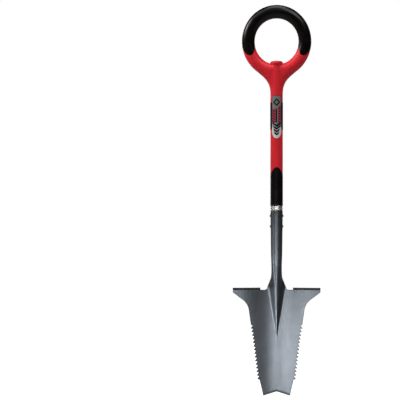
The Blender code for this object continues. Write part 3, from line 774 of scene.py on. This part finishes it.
def make_tread(side, surface):
    """A channel-shaped rubber cap pushed onto the folded step, with grooves along its top."""
    step_low = TOP_Z + BEND_RADIUS - GAP
    step_high = TOP_Z + BEND_RADIUS + SHEET + GAP
    groove_floor = TREAD_TOP_Z - TREAD_GROOVE_DEPTH
    quarter = spaced(0.0, math.pi / 2, 4)
    loops = []
    for x in spaced(TREAD_INNER, TREAD_OUTER, 40):
        face = face_y(x, TOP_Z)
        edge = face - STEP_DEPTH
        front, back = edge - TREAD_WALL, face - TREAD_ROUND
        top = [(back, TREAD_TOP_Z)]
        for share in TREAD_GROOVES:
            middle_y = back + (front - back) * share
            top += [
                (middle_y + TREAD_GROOVE_HALF, TREAD_TOP_Z),
                (middle_y + 0.5 * TREAD_GROOVE_HALF, groove_floor),
                (middle_y - 0.5 * TREAD_GROOVE_HALF, groove_floor),
                (middle_y - TREAD_GROOVE_HALF, TREAD_TOP_Z),
            ]
        nose = [
            (front + TREAD_ROUND * (1 - math.sin(a)), TREAD_TOP_Z - TREAD_ROUND * (1 - math.cos(a)))
            for a in quarter
        ]
        chin = [
            (front + TREAD_ROUND * (1 - math.cos(a)), TREAD_LOW_Z + TREAD_ROUND * (1 - math.sin(a)))
            for a in quarter
        ]
        inside = [
            (front + TREAD_LIP, TREAD_LOW_Z),
            (front + TREAD_LIP, step_low),
            (edge - GAP, step_low),
            (edge - GAP, step_high),
            (back, step_high),
        ]
        loops.append([(side * x, y, z) for y, z in top + nose + chin + inside])
    count = len(loops[0])
    points = [point for loop in loops for point in loop]
    faces = grid_faces(len(loops), count, wrap=True)
    faces += [tuple(range(count)), tuple(range(len(points) - count, len(points)))]
    word = "left" if side < 0 else "right"
    tread = piece(f"{word}_step_cap", points, faces, f"{word}_foot_tread", surface, 30.0)
    soften(tread, TREAD_SOFT_EDGE)
    return tread


# ---------------------------------------------------------------- fasteners and collar
def make_rivet(node, surface):
    """A round-headed rivet through the socket, both heads in one."""
    z = middle(node, 2)
    reach = high(node, 0)
    seat = socket_radius(z) + GAP
    dome_foot = seat + RIVET_RIM
    dome = reach - dome_foot
    dome_radius = RIVET_HEAD * RIVET_DOME_SHARE
    profile = [(0.0, reach)]
    for a in spaced(RIVET_CROWN, math.pi / 2, 9):
        profile.append((dome_radius * math.sin(a), dome_foot + dome * math.cos(a)))
    profile.append((RIVET_HEAD, seat + RIVET_CHAMFER))
    profile += [(RIVET_HEAD * RIVET_SEAT_SHARE, seat), (RIVET_SHANK, seat)]
    profile += [(radius, -x) for radius, x in reversed(profile)]
    points, faces = turned(profile, 40, along="X", centre=z)
    return piece(node + "_head", points, faces, node, surface, 45.0)


def make_collar(surface):
    """A turned ring with two shallow grooves and rounded rims."""
    bottom, top = low("collar", 2), high("collar", 2)
    outer, inner = high("collar", 0), TUBE_RADIUS + GAP
    rim = COLLAR_RIM
    profile = [(inner, bottom), (outer - rim, bottom)]
    for a in spaced(COLLAR_RIM_START, math.pi / 2, 4):
        profile.append((outer - rim * (1 - math.sin(a)), bottom + rim * (1 - math.cos(a))))
    for share in COLLAR_GROOVES:
        z = bottom + (top - bottom) * share
        for a in spaced(-math.pi / 2, math.pi / 2, 8):
            profile.append((outer - COLLAR_GROOVE * math.cos(a) ** 2, z + COLLAR_GROOVE * a))
    for a in spaced(0.0, math.pi / 2 - COLLAR_RIM_START, 4):
        profile.append((outer - rim * (1 - math.cos(a)), top - rim * (1 - math.sin(a))))
    profile += [(outer - rim, top), (inner, top), (inner, bottom)]
    points, faces = turned(profile, 96)
    return piece("ferrule_ring", points, faces, "collar", surface, 50.0)


# ---------------------------------------------------------------- handle
def blended(first, second, blend):
    """The union of two fields with a fillet where they meet."""
    near = np.maximum(blend - np.abs(first - second), 0.0)
    return np.minimum(first, second) - near**2 / (4 * blend)


def handle_field(points):
    """Zero on the handle's surface: a rounded form over the front outline, with the post in the ring."""
    x, y, z = points.T
    ring = np.abs(np.hypot(x, (z - RING_Z) / RING_STRETCH) - RING_HALF_WIDTH) - RING_TUBE_HALF
    strip = np.maximum(np.abs(x) - SLEEVE_RADIUS, z - WEB_TOP_Z)
    outline = blended(ring, strip, WEB_BLEND)
    in_web = smoothstep((z - WEB_LOW_Z) / (WEB_TOP_Z - WEB_LOW_Z))
    depth = SLEEVE_RADIUS + (RING_TUBE_DEPTH - SLEEVE_RADIUS) * in_web
    inwards = np.minimum(-outline / RING_TUBE_HALF, 1.0)
    body = (np.hypot(1 - inwards, y / depth) - 1) * RING_TUBE_HALF
    post = np.maximum(np.hypot(x, y) - SLEEVE_RADIUS, z - NECK_TOP_Z)
    return blended(body, post, CLOSE_BLEND + POST_BLEND * in_web)


def settle_on_handle(points, passes=14):
    """Moves points onto the surface along the field's slope."""
    for _ in range(passes):
        value = handle_field(points)
        slopes = []
        for move in FIELD_STEP * np.eye(3):
            change = handle_field(points + move) - handle_field(points - move)
            slopes.append(change / (2 * FIELD_STEP))
        slope = np.stack(slopes, axis=1)
        size = np.maximum((slope**2).sum(axis=1), LEAST_SLOPE)
        points = points - SETTLE_SHARE * (value / size)[:, None] * slope
    return points


def rough_handle():
    """Overlapping closed shapes that roughly fill the handle."""
    steps, around = 96, 20
    points = []
    for i in range(steps):
        turn = 2 * math.pi * i / steps
        for k in range(around):
            a = 2 * math.pi * k / around
            radius = RING_HALF_WIDTH + RING_TUBE_HALF * math.cos(a)
            x, z = radius * math.cos(turn), RING_Z + radius * math.sin(turn) * RING_STRETCH
            points.append((x, RING_TUBE_DEPTH * math.sin(a), z))
    faces = []
    for i in range(steps):
        for j in range(around):
            k, m = (j + 1) % around, (i + 1) % steps
            faces.append((i * around + j, i * around + k, m * around + k, m * around + j))
    start = len(points)
    depth = WEB_FAN_DEPTH
    for z, half in WEB_FAN:
        points += [(half, depth, z), (-half, depth, z), (-half, -depth, z), (half, -depth, z)]
    faces += grid_faces(len(WEB_FAN), 4, wrap=True, start=start)
    faces += [tuple(range(start + 3, start - 1, -1)), tuple(range(len(points) - 4, len(points)))]
    start = len(points)
    shaft_low = SLEEVE_LOW_Z - ROUGH_SLEEVE_EXTRA
    shaft, shaft_faces = turned([(SLEEVE_RADIUS, shaft_low), (SLEEVE_RADIUS, NECK_TOP_Z)], 40)
    points += shaft
    faces += [tuple(start + v for v in face) for face in shaft_faces]
    return points, faces


def make_handle_body(surface):
    """The moulding: an even skin over the rough shape, settled on the surface and cut at its foot."""
    points, faces = rough_handle()
    mesh = bpy.data.meshes.new("rough_handle")
    mesh.from_pydata(points, [], faces)
    shape = bmesh.new()
    shape.from_mesh(mesh)
    bmesh.ops.recalc_face_normals(shape, faces=shape.faces)
    shape.to_mesh(mesh)
    shape.free()
    rough = bpy.data.objects.new("rough_handle", mesh)
    bpy.context.scene.collection.objects.link(rough)
    skin = rough.modifiers.new("skin", "REMESH")
    skin.mode = "VOXEL"
    skin.voxel_size = SKIN_VOXEL
    graph = bpy.context.evaluated_depsgraph_get()
    fine = bpy.data.meshes.new_from_object(rough.evaluated_get(graph))
    places = np.empty(len(fine.vertices) * 3)
    fine.vertices.foreach_get("co", places)
    faces = [tuple(polygon.vertices) for polygon in fine.polygons]
    bpy.data.objects.remove(rough, do_unlink=True)
    bpy.data.meshes.remove(fine)
    settled = settle_on_handle(places.reshape(-1, 3))
    body = piece("handle_moulding", settled.tolist(), faces, "handle_body", surface, 40.0)
    shape = bmesh.new()
    shape.from_mesh(body.data)
    everything = shape.verts[:] + shape.edges[:] + shape.faces[:]
    cut = bmesh.ops.bisect_plane(
        shape, geom=everything, plane_co=(0, 0, SLEEVE_LOW_Z + HIDDEN), plane_no=(0, 0, -1), clear_outer=True
    )
    rim = [e for e in cut["geom_cut"] if isinstance(e, bmesh.types.BMEdge)]
    bmesh.ops.contextual_create(shape, geom=rim)
    shape.to_mesh(body.data)
    shape.free()
    return body


def make_end_cap(surface):
    """The low domed cap that shows inside the ring."""
    foot = NECK_TOP_Z - HIDDEN
    outer = SLEEVE_RADIUS + CAP_PROUD
    flat = outer - CAP_SHOULDER
    brim_z = CAP_TOP_Z - CAP_CROWN
    profile = [(0.0, foot), (outer - CAP_LIP, foot), (outer, foot + CAP_LIP)]
    for a in spaced(0.0, math.radians(80), 10):
        profile.append((flat + CAP_SHOULDER * math.cos(a), brim_z - CAP_SHOULDER * (1 - math.sin(a))))
    profile += [(flat * share, CAP_TOP_Z - CAP_CROWN * share**2) for share in spaced(0.9, 0.1, 4)]
    profile += [(0.0, CAP_TOP_Z)]
    points, faces = turned(profile, 80)
    return piece("ring_seat_cap", points, faces, "end_cap", surface, 50.0)


# Each row next to a grip's edge: (distance in from the edge, depth below the surface)
ROUNDED_EDGE = ((0.0, 0.0014), (0.00004, 0.0008), (0.00016, 0.0004), (0.0004, 0.00014), (0.0008, 0.0))


def grip_rows(steps):
    """Rows from one end of a grip to the other: share of the way, distance in, depth below the surface."""
    lower = [(0.0, inset, depth) for inset, depth in ROUNDED_EDGE]
    between = [(share, 0.0, 0.0) for share in spaced(0.0, 1.0, steps)[1:-1]]
    upper = [(1.0, -inset, depth) for inset, depth in reversed(ROUNDED_EDGE)]
    return lower + between + upper


def closed_tube(points, around):
    """Faces of a tube of rings of points, with both ends closed."""
    faces = grid_faces(len(points) // around, around, wrap=True)
    return faces + [tuple(range(around)), tuple(range(len(points) - around, len(points)))]


def make_ring_grip(surface):
    """The soft grip over the upper part of the ring, with a tongue at each end in front and behind."""
    around = 56
    points = []
    for share, inset, depth in grip_rows(120):
        for k in range(around):
            a = 2 * math.pi * k / around
            reach = abs(math.cos(a)) ** RING_TONGUE_POWER
            end = RING_GRIP_SIDE + (RING_GRIP_TONGUE - RING_GRIP_SIDE) * reach
            turn = end + (math.pi - 2 * end) * share + inset / RING_HALF_WIDTH
            proud = GRIP_PROUD - depth
            radius = RING_HALF_WIDTH + (RING_TUBE_HALF + proud) * math.sin(a)
            y = -(RING_TUBE_DEPTH + proud) * math.cos(a)
            points.append((radius * math.cos(turn), y, RING_Z + radius * math.sin(turn) * RING_STRETCH))
    faces = closed_tube(points, around)
    return piece("ring_overmould", points, faces, "ring_grip", surface, 60.0)


def make_shaft_grip(surface):
    """The soft grip at the sleeve's foot, with a tongue up its front and back."""
    around = 96
    points = []
    for share, inset, depth in grip_rows(24):
        for k in range(around):
            a = 2 * math.pi * k / around
            reach = abs(math.cos(a)) ** SHAFT_TONGUE_POWER
            top = GRIP_SIDE_Z + (GRIP_TONGUE_Z - GRIP_SIDE_Z) * reach
            z = SLEEVE_LOW_Z + (top - SLEEVE_LOW_Z) * share + inset
            radius = SLEEVE_RADIUS + GRIP_PROUD - depth
            points.append((radius * math.sin(a), -radius * math.cos(a), z))
    faces = closed_tube(points, around)
    return piece("sleeve_overmould", points, faces, "shaft_grip", surface, 60.0)


# ---------------------------------------------------------------- label
def make_label_wrap(surface):
    """The dark film round the sleeve."""
    bottom, top = low("label_wrap", 2), high("label_wrap", 2)
    outer, inner = high("label_wrap", 0), SLEEVE_RADIUS + FILM_LIFT
    profile = [(inner, bottom), (outer, bottom)]
    profile += [(outer, z) for z in spaced(bottom, top, 8)[1:-1]]
    profile += [(outer, top), (inner, top), (inner, bottom)]
    points, faces = turned(profile, 96)
    return piece("sleeve_film", points, faces, "label_wrap", surface, 40.0)


def make_label_panel(surface):
    """The silver film panel over the wrap, with its rounded foot."""
    bottom, top = low("label_panel", 2), high("label_panel", 2)
    inner = SLEEVE_RADIUS + PANEL_LIFT
    outer = inner + PANEL_FILM
    across_steps, up_steps = 60, 90
    front, mapped = [], []
    for i in range(up_steps + 1):
        for a in spaced(-PANEL_HALF_ANGLE, PANEL_HALF_ANGLE, across_steps):
            across = abs(a) / PANEL_HALF_ANGLE
            nose = bottom + PANEL_NOSE * (1 - math.sqrt(1 - min(across, PANEL_ROUND_END) ** 2))
            corner = max(0.0, (abs(a) - PANEL_HALF_ANGLE) * outer + PANEL_CORNER) / PANEL_CORNER
            brow = top - PANEL_CORNER * (1 - math.sqrt(1 - min(corner, PANEL_ROUND_END) ** 2))
            z = nose + (brow - nose) * i / up_steps
            front.append((outer * math.sin(a), -outer * math.cos(a), z))
            mapped.append((outer * a / MM, (z - bottom) / MM))
    faces = grid_faces(up_steps + 1, across_steps + 1)
    edge_mm = [d / MM for d in edge_distances(front, faces)]
    shrink = inner / outer
    back = [(x * shrink, y * shrink, z) for x, y, z in front]
    count = len(front)
    skin = faces + [tuple(count + v for v in reversed(face)) for face in faces]
    skin += [(b, a, count + a, count + b) for a, b in open_edges(faces)]
    panel = piece("label_film", front + back, skin, "label_panel", surface, 40.0)
    set_attribute(panel, "edge_mm", edge_mm * 2)
    layer = panel.data.uv_layers.new(name="label_mm")
    for loop in panel.data.loops:
        layer.data[loop.index].uv = mapped[loop.vertex_index % count]
    return panel


# ---------------------------------------------------------------- studio
FLOOR_TONE = (0.60, 0.60, 0.60)
FLOOR_HALF = 12.0
FLOOR_DROP = 0.0005  # keeps the blade's points off the floor's surface
# The floor glows for the camera only: painted light that keeps it white, and less of it near the object
# paints a darker pool.
PAINTED_GLOW_REACH = (0.1, 0.8)  # the floor's painted glow is dimmed inside the first, painting shade there under the faint real shadow, and is full past the second, where no shadow shows
PAINTED_GLOW_RANGE = (0.80, 1.0)
WORLD_LIGHT = 0.010
NARROW_BOX = 1.0  # a soft box smaller than this is a narrow beam
NARROW_SPREAD = math.radians(60.0)
LENS_MM = 200.0
SENSOR_MM = 36.0
FRAME_WIDTH = 1.1588  # width of the view at the spade
VIEW_X, VIEW_Z = -0.2219, 0.5655  # middle of the view at the spade
VIEW_END = 60.0


def add_light(name, place, target, size, power):
    """A soft box that lights the object without showing in the view. The small ones are narrow beams."""
    data = bpy.data.lights.new(name, "AREA")
    data.shape = "RECTANGLE"
    data.size, data.size_y = size
    data.energy = power
    if max(size) < NARROW_BOX:
        data.spread = NARROW_SPREAD
    light = bpy.data.objects.new(name, data)
    light.location = place
    light.rotation_euler = (Vector(target) - Vector(place)).to_track_quat("-Z", "Y").to_euler()
    light.visible_camera = False
    bpy.context.scene.collection.objects.link(light)


def make_floor():
    """A pale floor with a painted glow, seen only by the camera, that keeps it white; the glow is dimmed near
    the object, so painted shade adds to a faint real shadow there.
    """
    half = FLOOR_HALF
    mesh = bpy.data.meshes.new("floor")
    corners = [(-half, -half, 0), (half, -half, 0), (half, half, 0), (-half, half, 0)]
    mesh.from_pydata(corners, [], [(0, 1, 2, 3)])
    floor = bpy.data.objects.new("floor", mesh)
    floor.location.z = -FLOOR_DROP
    bpy.context.scene.collection.objects.link(floor)
    made = Surface("floor_white", roughness=0.9, specular=0.0)
    made.colour((*FLOOR_TONE, 1.0))
    from_foot = made.node("ShaderNodeVectorMath", {"Vector": made.place}, operation="LENGTH").outputs["Value"]
    seen = made.node("ShaderNodeLightPath").outputs["Is Camera Ray"]
    # painted light: emission for camera rays only, weaker near the object's foot, which paints shade there
    painted_glow = made.maths("MULTIPLY", seen, made.spread(from_foot, *PAINTED_GLOW_REACH, *PAINTED_GLOW_RANGE))
    made.shader.inputs["Emission Color"].default_value = (1.0, 1.0, 1.0, 1.0)
    made.feed(made.shader.inputs["Emission Strength"], painted_glow)
    mesh.materials.append(made.material)


def make_world():
    """White behind the object, and much dimmer as a light."""
    world = bpy.data.worlds.new("studio")
    bpy.context.scene.world = world
    world.use_nodes = True
    tree = world.node_tree
    background = tree.nodes["Background"]
    background.inputs["Color"].default_value = (1.0, 1.0, 1.0, 1.0)
    seen = tree.nodes.new("ShaderNodeLightPath").outputs["Is Camera Ray"]
    strength = tree.nodes.new("ShaderNodeMapRange")
    strength.inputs["To Min"].default_value = WORLD_LIGHT
    strength.inputs["To Max"].default_value = 1.0
    tree.links.new(seen, strength.inputs["Value"])
    tree.links.new(strength.outputs["Result"], background.inputs["Strength"])


def make_camera():
    """A long lens in front of the shaft, turned a little so that the spade stands right of the middle."""
    data = bpy.data.cameras.new("camera")
    data.lens = LENS_MM
    data.sensor_width = SENSOR_MM
    away = FRAME_WIDTH * LENS_MM / SENSOR_MM
    camera = bpy.data.objects.new("camera", data)
    camera.location = (0.0, AXIS_Y - away, VIEW_Z)
    aim = Vector((VIEW_X, AXIS_Y, VIEW_Z)) - camera.location
    camera.rotation_euler = aim.to_track_quat("-Z", "Y").to_euler()
    data.clip_end = VIEW_END
    bpy.context.scene.collection.objects.link(camera)
    bpy.context.scene.camera = camera


def around(azimuth, elevation, distance, centre):
    """A place that far from the centre. Azimuth 0 is in front and 90 to the right."""
    a, e = math.radians(azimuth), math.radians(elevation)
    way = Vector((math.sin(a) * math.cos(e), -math.cos(a) * math.cos(e), math.sin(e)))
    return Vector(centre) + distance * way


def make_studio():
    settings = bpy.context.scene.view_settings
    settings.view_transform = "Standard"
    settings.look = "None"
    make_world()
    make_floor()
    make_camera()
    chest = (0.0, 0.0, 0.75)
    middle_height = (0.0, 0.0, 0.50)
    foot = (0.0, 0.0, 0.17)
    toe = (0.0, 0.0, 0.08)
    crown = (0.0, 0.0, RING_Z)
    # Name, azimuth, elevation, distance, what it looks at, size, power.
    boxes = (
        ("top_soft", 0, 82, 2.6, chest, (1.2, 1.2), 28.0),
        ("key_high", -45, 55, 3.0, chest, (1.6, 1.2), 12.0),
        ("fill_high", 38, 50, 3.0, chest, (1.6, 1.2), 38.0),
        ("rim_left", -125, 10, 3.0, chest, (1.2, 1.6), 6.0),
        ("back_left", -165, 10, 3.0, chest, (1.2, 1.6), 16.0),
        ("back_right", 150, 10, 3.0, chest, (1.2, 1.6), 6.0),
        ("back_middle", 180, 15, 3.0, middle_height, (1.6, 1.6), 24.0),
        ("ring_left", -75, 28, 1.0, crown, (0.40, 0.40), 1.1),
        ("blade_key", -24, 0, 1.2, foot, (0.40, 0.34), 0.48),
        ("blade_front", 4, 0, 1.2, foot, (0.56, 0.34), 0.50),
        ("blade_side", -75, 0, 1.2, foot, (0.45, 0.34), 0.40),
        ("ridge_side", -60, 0, 0.6, toe, (0.25, 0.14), 0.28),
    )
    for name, azimuth, elevation, distance, target, size, power in boxes:
        add_light(name, around(azimuth, elevation, distance, target), target, size, power)


# ---------------------------------------------------------------- the spade
def finish_hidden_nodes(surface):
    """The tube and its pin keep their solids and get real steel."""
    for node in ("shaft_tube", "anchor_pin"):
        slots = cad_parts[node].material_slots
        for entry in slots:
            entry.material = surface


coat = coated_steel()
make_blade(coat)
treads = tread_rubber()
make_tread(-1, treads)
make_tread(1, treads)
zinc = rivet_steel()
make_rivet("upper_rivet", zinc)
make_rivet("lower_rivet", zinc)
make_collar(collar_chrome())
make_handle_body(moulded_plastic("red_plastic", RED))
make_end_cap(moulded_plastic("cap_plastic", scaled(RED, CAP_SHADE)))
rubber = grip_rubber()
make_ring_grip(rubber)
make_shaft_grip(rubber)
make_label_wrap(label_dark())
make_label_panel(label_print())
finish_hidden_nodes(bare_steel())
make_studio()
